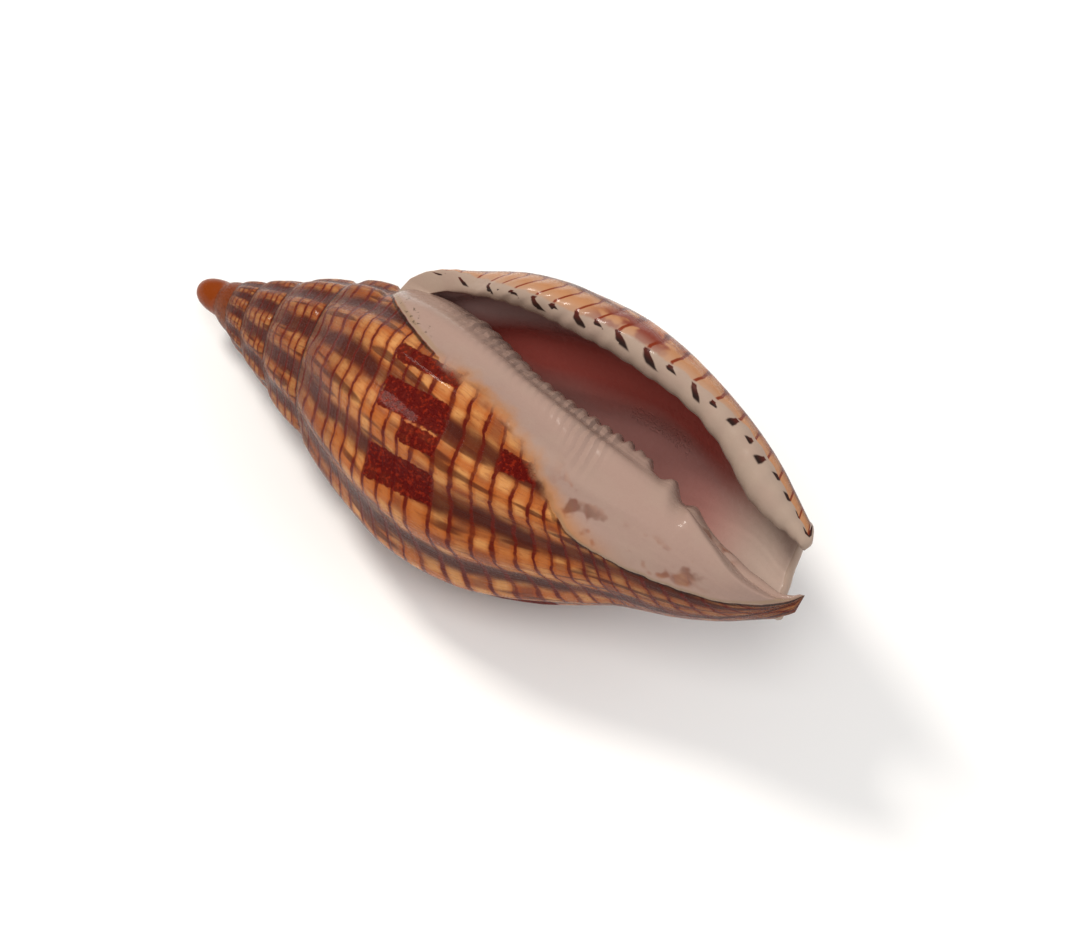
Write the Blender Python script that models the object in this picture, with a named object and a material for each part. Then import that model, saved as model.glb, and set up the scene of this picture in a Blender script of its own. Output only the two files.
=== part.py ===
# A ribbed volute shell, lying aperture up, as one closed body.
# The surface is a helical sheet: a turn angle runs along the growth and a height runs down the axis.
import math

import bmesh
import bpy
import numpy as np
from mathutils import Matrix, Vector

MM = 0.001

# Size and growth; lengths in millimetres, angles in degrees, turn angle 0 at the outer lip
SHELL_LENGTH = 57.0
WHORL_RATIO = 1.45
FIRST_TURN = -2100.0
LIP_AZIMUTH = 15.0
SUTURE_RADIUS = 8.45
SUTURE_HEIGHT = 19.75
VIRTUAL_APEX = -0.85
LAST_SUTURE_RISE = 2.3
LAST_SUTURE_TUCK = 0.19

# Outside radius at a few stages of growth, as (height, radius) from behind the suture to the front end
LIP_STATION = [(20.6, 9.7), (24.0, 11.35), (27.1, 12.4), (30.7, 12.85), (34.2, 12.85), (38.5, 12.4),
               (43.0, 11.3), (47.6, 9.5), (51.5, 7.3), (54.6, 5.0), (57.0, 3.3)]
BACK_STATION = [(24.2, 11.0), (28.5, 11.9), (32.5, 12.3), (36.0, 11.95), (39.9, 10.7), (45.2, 8.4),
                (49.4, 6.6), (53.2, 4.7), (57.0, 2.6)]
LEFT_STATION = [(18.0, 8.35), (22.0, 10.0), (25.2, 11.05), (28.5, 11.4), (31.6, 11.2), (34.7, 10.4),
                (39.9, 8.35), (43.9, 6.85), (47.8, 5.95), (51.6, 4.55), (54.6, 2.7), (57.0, 0.6)]
FRONT_STATION = [(19.6, 9.2), (23.8, 9.8), (28.5, 9.65), (31.4, 9.0), (34.7, 8.1), (39.9, 6.6),
                 (45.2, 5.3), (49.4, 4.4), (53.2, 3.2), (57.0, 0.6)]
COLUMELLA_STATION = [(17.7, 7.6), (20.5, 7.6), (23.8, 7.1), (31.4, 4.7), (37.2, 3.8), (41.0, 3.2),
                     (45.5, 2.3), (51.9, 1.2), (57.0, 0.6)]
INNER_STATION = [(16.6, 7.3), (22.2, 6.6), (29.0, 4.1), (37.2, 3.1), (41.0, 2.7), (45.5, 2.1),
                 (51.9, 1.3), (57.0, 0.6)]
STATIONS = [(-645.0, INNER_STATION, 0.88), (-465.0, INNER_STATION, 1.0), (-375.0, COLUMELLA_STATION, 1.0),
            (-285.0, FRONT_STATION, 1.0), (-195.0, LEFT_STATION, 1.0), (-105.0, BACK_STATION, 1.0),
            (0.0, LIP_STATION, 1.0)]

# Relief
RIB_SPACING = 30.5
RIB_PHASE = -303.0
RIB_LEAN = 1.0
RIB_HEIGHT = 0.65
WHORL_BULGE = 0.25
LIP_SWELLING = 0.5
LIP_SPUR = 1.1
CALLUS_THICKNESS = 0.3
CALLUS_EDGE = [(17.0, -345), (18.7, -330), (22.8, -313), (27.3, -302), (32.9, -292), (35.7, -281),
               (39.1, -260), (42.4, -245), (46.2, -238), (50.0, -236), (54.3, -245), (57.0, -270)]

# The columella's free edge beside the front canal, as (height, turn angle), and its folds, as (height, how far out)
COLUMELLA_MARGIN = [(43.0, -346), (45.5, -322), (47.5, -304), (49.5, -293), (51.0, -287), (53.0, -280),
                    (55.0, -274), (57.0, -270)]
MARGIN_DROP = 13.0
CANAL_RADIUS = 0.3
SWAY = [(44.0, 0.0), (48.0, 0.0), (50.4, -0.35), (52.8, -1.0), (55.0, -1.15), (56.3, -0.8), (57.2, 0.0)]
FOLDS = [(0.0, 0.0), (40.5, 0.0), (41.2, -0.15), (41.9, 0.35), (42.8, -0.85), (44.5, 0.25), (45.5, -0.85),
         (47.0, 0.2), (49.4, 0.0), (60.0, 0.0)]

# Wall, hollow and front edge
WALL_THICKNESS = 1.0
LIP_THICKNESS = [(17.0, 1.2), (19.4, 1.45), (23.6, 2.5), (27.0, 2.95), (32.0, 3.2), (38.0, 3.2), (43.0, 2.8),
                 (46.0, 3.0), (49.0, 3.9), (50.2, 4.2), (51.5, 3.8), (53.0, 2.8), (54.5, 1.7), (56.0, 1.2),
                 (57.0, 1.2)]
HOLLOW_DEPTH = 204.0
JOINT_TURN = -150.0
CORNER_DROP = 2.6
FRONT_EDGE = [(-720, 44.0), (-555, 50.5), (-510, 55.2), (-360, 55.4), (-195, 55.4), (-150, 55.2),
              (-120, 54.3), (-105, 54.0), (-90, 53.7), (-75, 53.4), (-60, 53.5), (-45, 53.8), (-30, 54.2),
              (-15, 54.8), (0, 55.8)]

# Mesh divisions
FOLD_ROWS = [41.2, 41.9, 42.8, 43.6, 44.5, 45.5, 46.2, 47.0, 49.4]
TURN_STEPS = 60
WHORL_ROWS = 4
CORNER_ROWS = 3
BACK_ROWS = 6
FRONT_ROWS = 2
TIP_ROWS = 2
CAP_RINGS = 4

# How it lies: the shell's own axes turned so that it rests on its back. Its lowest ribs are worn down, a little
# less deep at three spots that it stands on, placed from the middle of the shell as it lies
REST_UP = (0.45583, 0.85479, 0.24811)
WORN = 0.4
SPOTS = [(-3.64, -4.03), (4.41, -2.02), (-2.68, 2.58)]
SPOT_HEIGHT = 0.2

SHELL_COLOR = (0.60, 0.30, 0.13, 1.0)
SHELL_ROUGHNESS = 0.25


def smooth(x, low, high):
    x = np.clip((np.asarray(x, float) - low) / (high - low), 0.0, 1.0)
    return x * x * (3.0 - 2.0 * x)


def hermite(s, span, y0, y1, m0, m1):
    return ((1 + 2 * s) * (1 - s) ** 2 * y0 + s * (1 - s) ** 2 * span * m0
            + s * s * (3 - 2 * s) * y1 + s * s * (s - 1) * span * m1)


def curve(x, points):
    """Smooth curve through (x, y) points, where y is a number or a row of numbers."""
    xs = np.array([p[0] for p in points], float)
    ys = np.array([p[1] for p in points], float)
    flat = ys.reshape(len(xs), -1)
    step = np.diff(xs)[:, None]
    rise = np.diff(flat, axis=0) / step
    slope = np.zeros_like(flat)
    slope[0], slope[-1] = rise[0], rise[-1]
    same = rise[:-1] * rise[1:] > 0
    total = np.where(same, rise[:-1] + rise[1:], 1.0)
    slope[1:-1] = np.where(same, 2 * rise[:-1] * rise[1:] / total, 0.0)
    x = np.clip(np.asarray(x, float), xs[0], xs[-1])
    i = np.clip(np.searchsorted(xs, x, side="right") - 1, 0, len(xs) - 2)
    s = ((x - xs[i]) / step[i, 0])[..., None]
    out = hermite(s, step[i], flat[i], flat[i + 1], slope[i], slope[i + 1])
    return out if ys.ndim > 1 else out[..., 0]


def growth(t):
    return WHORL_RATIO ** (np.maximum(t, FIRST_TURN + 360.0) / 360.0)


def suture_radius(t):
    return SUTURE_RADIUS * growth(t) * (1.0 - LAST_SUTURE_TUCK * smooth(t, -150, 0))


def suture_height(t):
    return VIRTUAL_APEX + SUTURE_HEIGHT * growth(t) - LAST_SUTURE_RISE * smooth(t, -150, 0)


KNOTS = np.linspace(0.0, 1.0, 23)


def station_rows():
    rows = []
    for t, points, scale in STATIONS:
        start = (float(suture_height(t)), float(suture_radius(t)))
        points = [start] + [(h, r * scale) for h, r in points if h > start[0] + 0.5]
        heights = start[0] + KNOTS * (SHELL_LENGTH - start[0])
        rows.append((t, curve(heights, points)))
    return rows


STATION_ROWS = station_rows()


def body_radius(t, h):
    """Outside radius of the last whorls, between the stations."""
    start = suture_height(t)
    y = np.clip((h - start) / (SHELL_LENGTH - start), 0.0, 1.0)
    rows = curve(t, STATION_ROWS)
    last = len(KNOTS) - 1
    i = np.clip((y * last).astype(int), 0, last - 1)
    row = np.arange(len(t))

    def value(k):
        return rows[row, np.clip(k, 0, last)]

    def slope(k):
        span = np.clip(k + 1, 0, last) - np.clip(k - 1, 0, last)
        return (value(k + 1) - value(k - 1)) * last / span

    return hermite(y * last - i, 1.0 / last, value(i), value(i + 1), slope(i), slope(i + 1))


def spire_radius(t, h):
    """Outside radius of a whorl of the spire, between its two sutures."""
    h0, h1 = suture_height(t), suture_height(t + 360.0)
    r0, r1 = suture_radius(t), suture_radius(t + 360.0)
    x = np.clip((h - h0) / np.maximum(h1 - h0, 1e-6), 0.0, 1.0)
    return r0 + (r1 - r0) * x + WHORL_BULGE * (h1 - h0) * x * (1.0 - x) * (1.25 - 0.5 * x)


def plain_radius(t, h):
    body = body_radius(t, h)
    h1 = suture_height(t + 360.0)
    spire = spire_radius(t, np.minimum(h, h1))
    step = suture_radius(t + 360.0) - body_radius(t, h1)
    fix = np.where(h < h1, spire - body, step * np.exp(-np.maximum(h - h1, 0.0) / 3.0))
    return np.where(t < -700.0, spire, body + fix * (1.0 - smooth(t, -360, -290)))


def ribs(t, h):
    h0, h1 = suture_height(t), suture_height(t + 360.0)
    x = (h - h0) / np.maximum(h1 - h0, 1e-6)
    phase = (t - RIB_PHASE - RIB_LEAN * (h - 21.0) * smooth(t, -400, -330)) / RIB_SPACING
    wave = (0.5 + 0.5 * np.cos(2 * math.pi * phase)) ** 1.3 - 0.35
    fade_in = smooth(x, 0.0, 0.18)
    in_spire = 1.0 - smooth(x, 0.86, 1.0)
    on_body = (1.0 - smooth(h, 36.0, 48.0)) * (1.0 - smooth(t, -22.0, -6.0)) * smooth(t, -345.0, -318.0)
    window = np.where(t < -360.0, in_spire, on_body + in_spire * (1.0 - smooth(t, -345.0, -318.0)))
    reach = smooth(t, FIRST_TURN + 500.0, FIRST_TURN + 800.0)
    return RIB_HEIGHT * growth(t) * wave * fade_in * window * reach


def callus(t, h):
    edge = curve(h, CALLUS_EDGE)
    on = (1.0 - smooth(t, edge - 3.0, edge + 1.5)) * smooth(t, -520.0, -400.0)
    below = smooth(h, suture_height(t + 360.0) + 0.1, suture_height(t + 360.0) + 1.2)
    return CALLUS_THICKNESS * on * below * (1.0 - smooth(h, 53.0, 56.0))


def sway(h):
    """How far the front end bends aside from the axis."""
    return curve(h, SWAY)


def canal_cut(t, h):
    """Where the front canal opens beside the columella, from 0 to 1."""
    margin = curve(h, COLUMELLA_MARGIN)
    cut = (1.0 - smooth(t, margin - MARGIN_DROP, margin)) * smooth(t, -540.0, -440.0)
    return 0.94 * cut * smooth(h, 44.5, 50.0)


def canal(t, h, r):
    r = np.maximum(r - sway(h) * np.cos(np.radians(LIP_AZIMUTH + t)), CANAL_RADIUS)
    return r + (CANAL_RADIUS - r) * canal_cut(t, h)


def folds(t, h):
    margin = curve(h, COLUMELLA_MARGIN)
    window = smooth(t, -520.0, -440.0) * (1.0 - smooth(t, margin - 4.0, margin + 24.0))
    return curve(h - 0.02 * (t + 345.0), FOLDS) * window * (1.0 - canal_cut(t, h))


def outer_radius(t, h):
    t, h = np.broadcast_arrays(np.asarray(t, float), np.asarray(h, float))
    shape = t.shape
    t, h = t.ravel(), h.ravel()
    swelling = LIP_SWELLING * np.exp(-((t + 9.0) / 9.0) ** 2) * smooth(h, 17.0, 22.0)
    past = h - suture_height(t)
    spur = LIP_SPUR * smooth(t, -14.0, -2.0) * smooth(past, 0.0, 0.8) * (1.0 - smooth(past, 1.5, 6.0))
    r = canal(t, h, plain_radius(t, h)) + ribs(t, h) + callus(t, h) + folds(t, h) + swelling + spur
    return r.reshape(shape)


def row_heights(t):
    """Heights of the rows of the sheet at one turn angle, from suture to front end."""
    start, turn_on = suture_height(t), suture_height(t + 360.0)
    corner = turn_on + CORNER_DROP
    edge = curve(t, FRONT_EDGE)
    lift = 0.02 * (max(min(t, -330.0), -480.0) + 345.0)
    fold_rows = np.array(FOLD_ROWS) + lift
    squeeze = min(1.0, (edge - 1.5 - fold_rows[0]) / (fold_rows[-1] - fold_rows[0]))
    fold_rows = fold_rows[0] + (fold_rows - fold_rows[0]) * squeeze
    rows = list(np.linspace(start, turn_on, WHORL_ROWS + 1))
    rows += list(np.linspace(turn_on, corner, CORNER_ROWS + 1))[1:]
    rows += list(np.linspace(corner, fold_rows[0], BACK_ROWS + 1))[1:]
    rows += list(fold_rows[1:])
    rows += list(np.linspace(fold_rows[-1], edge, FRONT_ROWS + 1))[1:]
    rows += list(np.linspace(edge, SHELL_LENGTH, TIP_ROWS + 1))[1:]
    return np.array(rows)


def place(t, r, h):
    a = math.radians(LIP_AZIMUTH + t)
    return Vector((float(sway(h)) + r * math.cos(a), r * math.sin(a), h))


class Sheets:
    """The vertices and faces of the shell, in millimetres on its own axes."""

    def __init__(self):
        self.points = []
        self.faces = []
        self.step = 360.0 / TURN_STEPS
        self.lip = round(-FIRST_TURN / self.step)
        self.turn_back = self.lip - TURN_STEPS
        self.joint = self.lip + round(JOINT_TURN / self.step)
        self.deep = self.lip - round(HOLLOW_DEPTH / self.step)
        self.corner = WHORL_ROWS + CORNER_ROWS
        self.edge = self.corner + BACK_ROWS + len(FOLD_ROWS) - 1 + FRONT_ROWS
        self.end = self.edge + TIP_ROWS
        self.tip = self.point(Vector((0.0, 0.0, SHELL_LENGTH + 0.15)))
        self.outside, self.inside, self.core, self.lip_rim = {}, {}, {}, {}

    def turn(self, k):
        return FIRST_TURN + self.step * k

    def point(self, p):
        self.points.append(p)
        return len(self.points) - 1

    def face(self, *ids):
        ring = [v for i, v in enumerate(ids) if v not in ids[:i]]
        if len(ring) > 2:
            self.faces.append(ring)

    def sheet(self, grid, k0, k1, j0, last_row):
        """Faces between neighbouring columns of a grid; the row past the end is the tip."""
        for k in range(k0, k1):
            for j in range(j0, last_row(k)):
                high = (self.tip, self.tip) if j + 1 == self.end else (grid[k + 1, j + 1], grid[k, j + 1])
                self.face(grid[k, j], grid[k + 1, j], *high)

    def outside_columns(self):
        for k in range(self.lip + 1):
            t = self.turn(k)
            rows = row_heights(t)
            radii = outer_radius(t, rows)
            if k < self.turn_back:
                count = WHORL_ROWS + 1
            else:
                count = self.end if k <= self.joint else self.edge + 1
            for j in range(count):
                if j == 0 and k >= TURN_STEPS:
                    self.outside[k, 0] = self.outside[k - TURN_STEPS, WHORL_ROWS]
                elif k == 0 and j > 0:
                    self.outside[0, j] = self.outside[0, 0]
                else:
                    self.outside[k, j] = self.point(place(t, radii[j], rows[j]))

        def last_row(k):
            if k < self.turn_back:
                return WHORL_ROWS
            return self.end if k < self.joint else self.edge

        self.sheet(self.outside, 0, self.lip, 0, last_row)

    def core_columns(self):
        """The columella and the wall above it, going on from the outside into the hollow."""
        first, joint = self.deep - TURN_STEPS, self.joint - TURN_STEPS
        for k in range(first, self.turn_back + 1):
            t = self.turn(k)
            rows = row_heights(t)
            radii = outer_radius(t, rows)
            for j in range(self.corner, self.end if k >= joint else self.edge + 1):
                if k == self.turn_back:
                    self.core[k, j] = self.outside[k, j]
                elif k == joint and j >= self.edge:
                    self.core[k, j] = self.outside[self.joint, j]
                else:
                    self.core[k, j] = self.point(place(t, radii[j], rows[j]))
        self.sheet(self.core, first, self.turn_back, self.corner,
                   lambda k: self.end if k >= joint else self.edge)

    def inside_columns(self):
        """The inner face of the outer wall."""
        for k in range(self.deep, self.lip + 1):
            t = self.turn(k)
            rows = row_heights(t - 360.0)
            end = curve(t, FRONT_EDGE) if k > self.joint else rows[self.edge]
            x = np.linspace(0.0, 1.0, self.edge + 1)
            heights = rows[self.corner] + (end - rows[self.corner]) * x
            core, outer = outer_radius(t - 360.0, heights), outer_radius(t, heights)
            wall = WALL_THICKNESS + (curve(heights, LIP_THICKNESS) - WALL_THICKNESS) * smooth(t, -24, 0)
            room = np.maximum(outer - core, 0.0)
            gap = room - wall * (1.0 - np.exp(-room / wall))
            gap *= 1.0 - (1.0 - np.minimum(x / 0.14, 1.0)) ** 3
            closing = 1.0 - smooth(t, JOINT_TURN, JOINT_TURN + 40.0)
            gap *= 1.0 - closing * np.maximum(1.0 - (1.0 - x) / 0.12, 0.0) ** 3
            for j in range(self.edge + 1):
                if j == 0:
                    self.inside[k, 0] = self.core[k - TURN_STEPS, self.corner]
                elif j == self.edge and k <= self.joint:
                    self.inside[k, j] = self.core[k - TURN_STEPS, self.edge]
                else:
                    self.inside[k, j] = self.point(place(t, core[j] + gap[j], heights[j]))
        for k in range(self.deep, self.lip):
            for j in range(self.edge):
                self.face(self.inside[k, j], self.inside[k, j + 1], self.inside[k + 1, j + 1],
                          self.inside[k + 1, j])

    def bead(self, outer, inner, out, bulge):
        """A rounded row of points from the outer edge of the wall to its inner edge."""
        a, b = self.points[outer], self.points[inner]
        middle, half = (a + b) / 2.0, (a - b) / 2.0
        row = [outer]
        for i in range(1, CORNER_ROWS):
            angle = math.pi * i / CORNER_ROWS
            p = middle + half * math.cos(angle) + out * half.length * bulge * math.sin(angle)
            row.append(self.point(p))
        return row + [inner]

    def rims(self):
        for j in range(self.edge + 1):
            if j == 0:
                row = [self.outside[self.lip, 0]]
                row += [self.outside[self.turn_back, WHORL_ROWS + i] for i in range(1, CORNER_ROWS)]
                self.lip_rim[0] = row + [self.inside[self.lip, 0]]
                continue
            at = self.points[self.outside[self.lip, j]]
            out = Vector((-at.y, at.x, 0.0)).normalized()
            if j == self.edge:
                out = (out + Vector((0.0, 0.0, 1.0))).normalized()
            bulge = 0.9 * float(smooth(j / self.edge, 0.0, 0.15))
            self.lip_rim[j] = self.bead(self.outside[self.lip, j], self.inside[self.lip, j], out, bulge)
        front = {self.joint: [self.outside[self.joint, self.edge]] * (CORNER_ROWS + 1),
                 self.lip: self.lip_rim[self.edge]}
        for k in range(self.joint + 1, self.lip):
            front[k] = self.bead(self.outside[k, self.edge], self.inside[k, self.edge],
                                 Vector((0.0, 0.0, 1.0)), 0.9)
        for i in range(CORNER_ROWS):
            for j in range(self.edge):
                a, b = self.lip_rim[j], self.lip_rim[j + 1]
                self.face(a[i], a[i + 1], b[i + 1], b[i])
            for k in range(self.joint, self.lip):
                a, b = front[k], front[k + 1]
                self.face(a[i], b[i], b[i + 1], a[i + 1])

    def deep_end(self):
        """Closes the hollow where it ends, out of sight behind the columella."""
        a = [self.inside[self.deep, j] for j in range(self.edge + 1)]
        b = [self.core[self.deep - TURN_STEPS, j] for j in range(self.corner, self.edge + 1)]
        i = j = 0
        while i < len(a) - 1 or j < len(b) - 1:
            if j == len(b) - 1 or (i < len(a) - 1 and (i + 1) * (len(b) - 1) <= (j + 1) * (len(a) - 1)):
                self.face(a[i], b[j], a[i + 1])
                i += 1
            else:
                self.face(a[i], b[j], b[j + 1])
                j += 1

    def first_cap(self):
        """The smooth round cap of the first whorl."""
        base = [self.outside[k, 0] for k in range(TURN_STEPS)]
        top = self.point(Vector((0.0, 0.0, 0.0)))
        ring = base
        for a in range(1, CAP_RINGS):
            angle = math.pi / 2 * a / CAP_RINGS
            wide, high = math.cos(angle) ** 0.85, 1.0 - math.sin(angle)
            above = []
            for i in base:
                p = self.points[i]
                above.append(self.point(Vector((p.x * wide, p.y * wide, p.z * high))))
            for k in range(TURN_STEPS):
                n = (k + 1) % TURN_STEPS
                self.face(above[k], above[n], ring[n], ring[k])
            ring = above
        for k in range(TURN_STEPS):
            self.face(top, ring[(k + 1) % TURN_STEPS], ring[k])

    def build(self):
        self.outside_columns()
        self.core_columns()
        self.inside_columns()
        self.rims()
        self.deep_end()
        self.first_cap()


def rest_turn():
    """Turns the shell's own axes so that REST_UP points up and its length lies along X."""
    up = Vector(REST_UP).normalized()
    along = Vector((0.0, 0.0, 1.0))
    along = (along - up * along.dot(up)).normalized()
    side = up.cross(along)
    return Matrix((along, side, up)).to_4x4()


def shell_material():
    material = bpy.data.materials.new("shell_material")
    material.use_nodes = True
    surface = material.node_tree.nodes["Principled BSDF"]
    surface.inputs["Base Color"].default_value = SHELL_COLOR
    surface.inputs["Roughness"].default_value = SHELL_ROUGHNESS
    surface.inputs["Metallic"].default_value = 0.0
    return material


def wear(points, middle):
    floor = min(p.z for p in points) + WORN
    for p in points:
        away = min(math.dist((p.x - middle.x, p.y - middle.y), spot) for spot in SPOTS)
        p.z = max(p.z, floor + SPOT_HEIGHT * float(smooth(away, 0.0, 1.0)))


def make_shell():
    sheets = Sheets()
    sheets.build()
    turn = rest_turn()
    points = [turn @ p for p in sheets.points]
    low = [min(p[i] for p in points) for i in range(2)]
    high = [max(p[i] for p in points) for i in range(2)]
    middle = Vector(((low[0] + high[0]) / 2, (low[1] + high[1]) / 2, 0.0))
    wear(points, middle)
    middle.z = min(p.z for p in points)
    mesh = bpy.data.meshes.new("shell")
    mesh.from_pydata([(p - middle) * MM for p in points], [], sheets.faces)
    body = bmesh.new()
    body.from_mesh(mesh)
    bmesh.ops.triangulate(body, faces=body.faces)
    bmesh.ops.recalc_face_normals(body, faces=body.faces)
    body.to_mesh(mesh)
    body.free()
    mesh.materials.append(shell_material())
    shell = bpy.data.objects.new("shell", mesh)
    bpy.context.collection.objects.link(shell)
    return shell


def main():
    for old in list(bpy.data.objects):
        bpy.data.objects.remove(old, do_unlink=True)
    make_shell()


main()
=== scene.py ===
import math
import bpy
import numpy as np
from mathutils import Matrix, Vector


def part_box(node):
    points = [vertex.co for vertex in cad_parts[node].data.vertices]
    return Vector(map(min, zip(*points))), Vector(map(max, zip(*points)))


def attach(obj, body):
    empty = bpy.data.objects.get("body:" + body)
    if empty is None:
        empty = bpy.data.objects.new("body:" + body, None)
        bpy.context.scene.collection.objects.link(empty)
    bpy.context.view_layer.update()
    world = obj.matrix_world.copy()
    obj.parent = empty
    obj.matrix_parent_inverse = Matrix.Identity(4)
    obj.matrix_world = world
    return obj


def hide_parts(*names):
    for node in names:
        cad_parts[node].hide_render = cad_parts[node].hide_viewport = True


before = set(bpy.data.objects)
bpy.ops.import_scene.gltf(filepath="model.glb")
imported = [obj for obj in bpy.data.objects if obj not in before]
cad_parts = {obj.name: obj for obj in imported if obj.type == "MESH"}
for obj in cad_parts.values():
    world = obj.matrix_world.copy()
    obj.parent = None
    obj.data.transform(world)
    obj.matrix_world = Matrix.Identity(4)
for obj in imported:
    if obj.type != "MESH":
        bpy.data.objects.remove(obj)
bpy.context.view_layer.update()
print("frame loaded")

mm = 0.001

# The shell's growth, in millimetres and degrees: turn angle 0 is the outer lip, height runs down the axis from the tip.
# The values follow the CAD shell's, so the fine surface lies on it.
growthSettings = {
    "length": 57.0,
    "whorlRatio": 1.45,       # each whorl is this much larger than the one before
    "firstTurn": -2100.0,     # where the growth starts
    "lipAzimuth": 15.0,       # where it ends
    "sutureRadius": 8.45,     # the seam between whorls, at the lip
    "sutureHeight": 19.75,
    "virtualApex": -0.85,
    "lastSutureRise": 2.3,    # how the seam climbs and tucks in over the last half turn
    "lastSutureTuck": 0.19,
    "whorlBulge": 0.25,
    "restUp": (0.45583, 0.85479, 0.24811),  # the shell's own direction that points up as it lies
    "worn": 0.4,              # how far the ribs that it lies on are worn down
    "spots": [(-3.64, -4.03), (4.41, -2.02), (-2.68, 2.58)],  # it stands on these, from its middle as it lies
    "spotHeight": 0.2,
}

# Outside radius at a few stages of growth, as (height, radius)
lipStation = [(20.6, 9.7), (24.0, 11.35), (27.1, 12.4), (30.7, 12.85), (34.2, 12.85), (38.5, 12.4), (43.0, 11.3),
              (47.6, 9.5), (51.5, 7.3), (54.6, 5.0), (57.0, 3.3)]
backStation = [(24.2, 11.0), (28.5, 11.9), (32.5, 12.3), (36.0, 11.95), (39.9, 10.7), (45.2, 8.4), (49.4, 6.6),
               (53.2, 4.7), (57.0, 2.6)]
leftStation = [(18.0, 8.35), (22.0, 10.0), (25.2, 11.05), (28.5, 11.4), (31.6, 11.2), (34.7, 10.4), (39.9, 8.35),
               (43.9, 6.85), (47.8, 5.95), (51.6, 4.55), (54.6, 2.7), (57.0, 0.6)]
frontStation = [(19.6, 9.2), (23.8, 9.8), (28.5, 9.65), (31.4, 9.0), (34.7, 8.1), (39.9, 6.6), (45.2, 5.3),
                (49.4, 4.4), (53.2, 3.2), (57.0, 0.6)]
columellaStation = [(17.7, 7.6), (20.5, 7.6), (23.8, 7.1), (31.4, 4.7), (37.2, 3.8), (41.0, 3.2), (45.5, 2.3),
                    (51.9, 1.2), (57.0, 0.6)]
innerStation = [(16.6, 7.3), (22.2, 6.6), (29.0, 4.1), (37.2, 3.1), (41.0, 2.7), (45.5, 2.1), (51.9, 1.3), (57.0, 0.6)]
stations = [(-645.0, innerStation, 0.88), (-465.0, innerStation, 1.0), (-375.0, columellaStation, 1.0),
            (-285.0, frontStation, 1.0), (-195.0, leftStation, 1.0), (-105.0, backStation, 1.0), (0.0, lipStation, 1.0)]

# Ribs along the growth: spacing and phase in degrees, lean in degrees for each millimetre down the axis
ribSettings = {"spacing": 30.5, "phase": -303.0, "lean": 1.0, "height": 0.74}

lipSettings = {
    "swelling": 0.5,          # how far the lip stands out behind its edge
    "spur": 1.1,              # how far its upper corner stands out
    "wall": 1.0,              # the wall behind the lip
    "thickness": [(17.0, 1.2), (19.4, 1.45), (23.6, 2.5), (27.0, 2.95), (32.0, 3.2), (38.0, 3.2), (43.0, 2.8),
                  (46.0, 3.0), (49.0, 3.9), (50.2, 4.2), (51.5, 3.8), (53.0, 2.8), (54.5, 1.7), (56.0, 1.2),
                  (57.0, 1.2)],
    "rimWidth": 3.6,          # how far the rounded rim reaches in the pattern, from its outer to its inner edge
    "rimBulge": 0.9,          # how round it is, 1 for half a circle
    "scallop": 0.05,          # the slight waves of the outer edge, one to a marking
}

callusSettings = {
    "thickness": 0.3,
    "edge": [(17.0, -345), (18.7, -330), (22.8, -313), (27.3, -302), (32.9, -292), (35.7, -281), (39.1, -260),
             (42.4, -245), (46.2, -238), (50.0, -236), (54.3, -245), (57.0, -270)],
    "ridge": 0.10,            # the raised rim along its front half
    "waver": 0.9,             # how far the edge wanders, in degrees
}

# The columella's free edge: the turn angle where it drops into the canal, at each height
columellaSettings = {
    "margin": [(43.0, -346), (45.5, -322), (47.5, -304), (49.5, -293), (51.0, -287), (53.0, -280), (55.0, -274),
               (57.0, -270)],
    "drop": 13.0,             # over how many degrees it drops
    "left": 0.3,              # the radius left in the canal
    "sway": [(44.0, 0.0), (48.0, 0.0), (50.4, -0.35), (52.8, -1.0), (55.0, -1.15), (56.3, -0.8), (57.2, 0.0)],
}

foldSettings = {
    # how far the big folds stand out, in millimetres, at each height
    "profile": [(0.0, 0.0), (40.5, 0.0), (41.2, -0.15), (41.9, 0.35), (42.8, -0.85), (44.5, 0.25), (45.5, -0.85),
                (47.0, 0.2), (49.4, 0.0), (60.0, 0.0)],
    "slant": 0.02,            # how far they climb in millimetres for each degree of turn
    "slantFrom": -345.0,
    "fineCrests": [24.6, 25.9, 27.1, 28.3, 29.5, 30.7, 31.9, 33.1, 34.2, 35.4, 36.5, 37.7, 38.8, 39.9, 41.0],
    "fineHeight": (0.20, 0.55),   # behind and in front
}

hollowSettings = {
    "depth": 203.4,           # how far the hollow goes back, in degrees
    "joint": -150.0,          # where the front edges of outer wall and columella meet
    "cornerDrop": 2.6,        # how far under the seam the hollow's upper corner lies
    "frontEdge": [(-720, 44.0), (-555, 50.5), (-510, 55.2), (-360, 55.4), (-195, 55.4), (-150, 55.2), (-120, 54.3),
                  (-105, 54.0), (-90, 53.7), (-75, 53.4), (-60, 53.5), (-45, 53.8), (-30, 54.2), (-15, 54.8),
                  (0, 55.8)],
}

meshSettings = {"turnSteps": 216, "whorlRows": 16, "cornerRows": 8, "bodyRows": 128, "tipRows": 6, "capRings": 10}

# These stand in for the distance from the lip on the columella and on the cap of the tip, and for one out of reach
coreMark, capMark, farAway = -50.0, -90.0, 9.0

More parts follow.
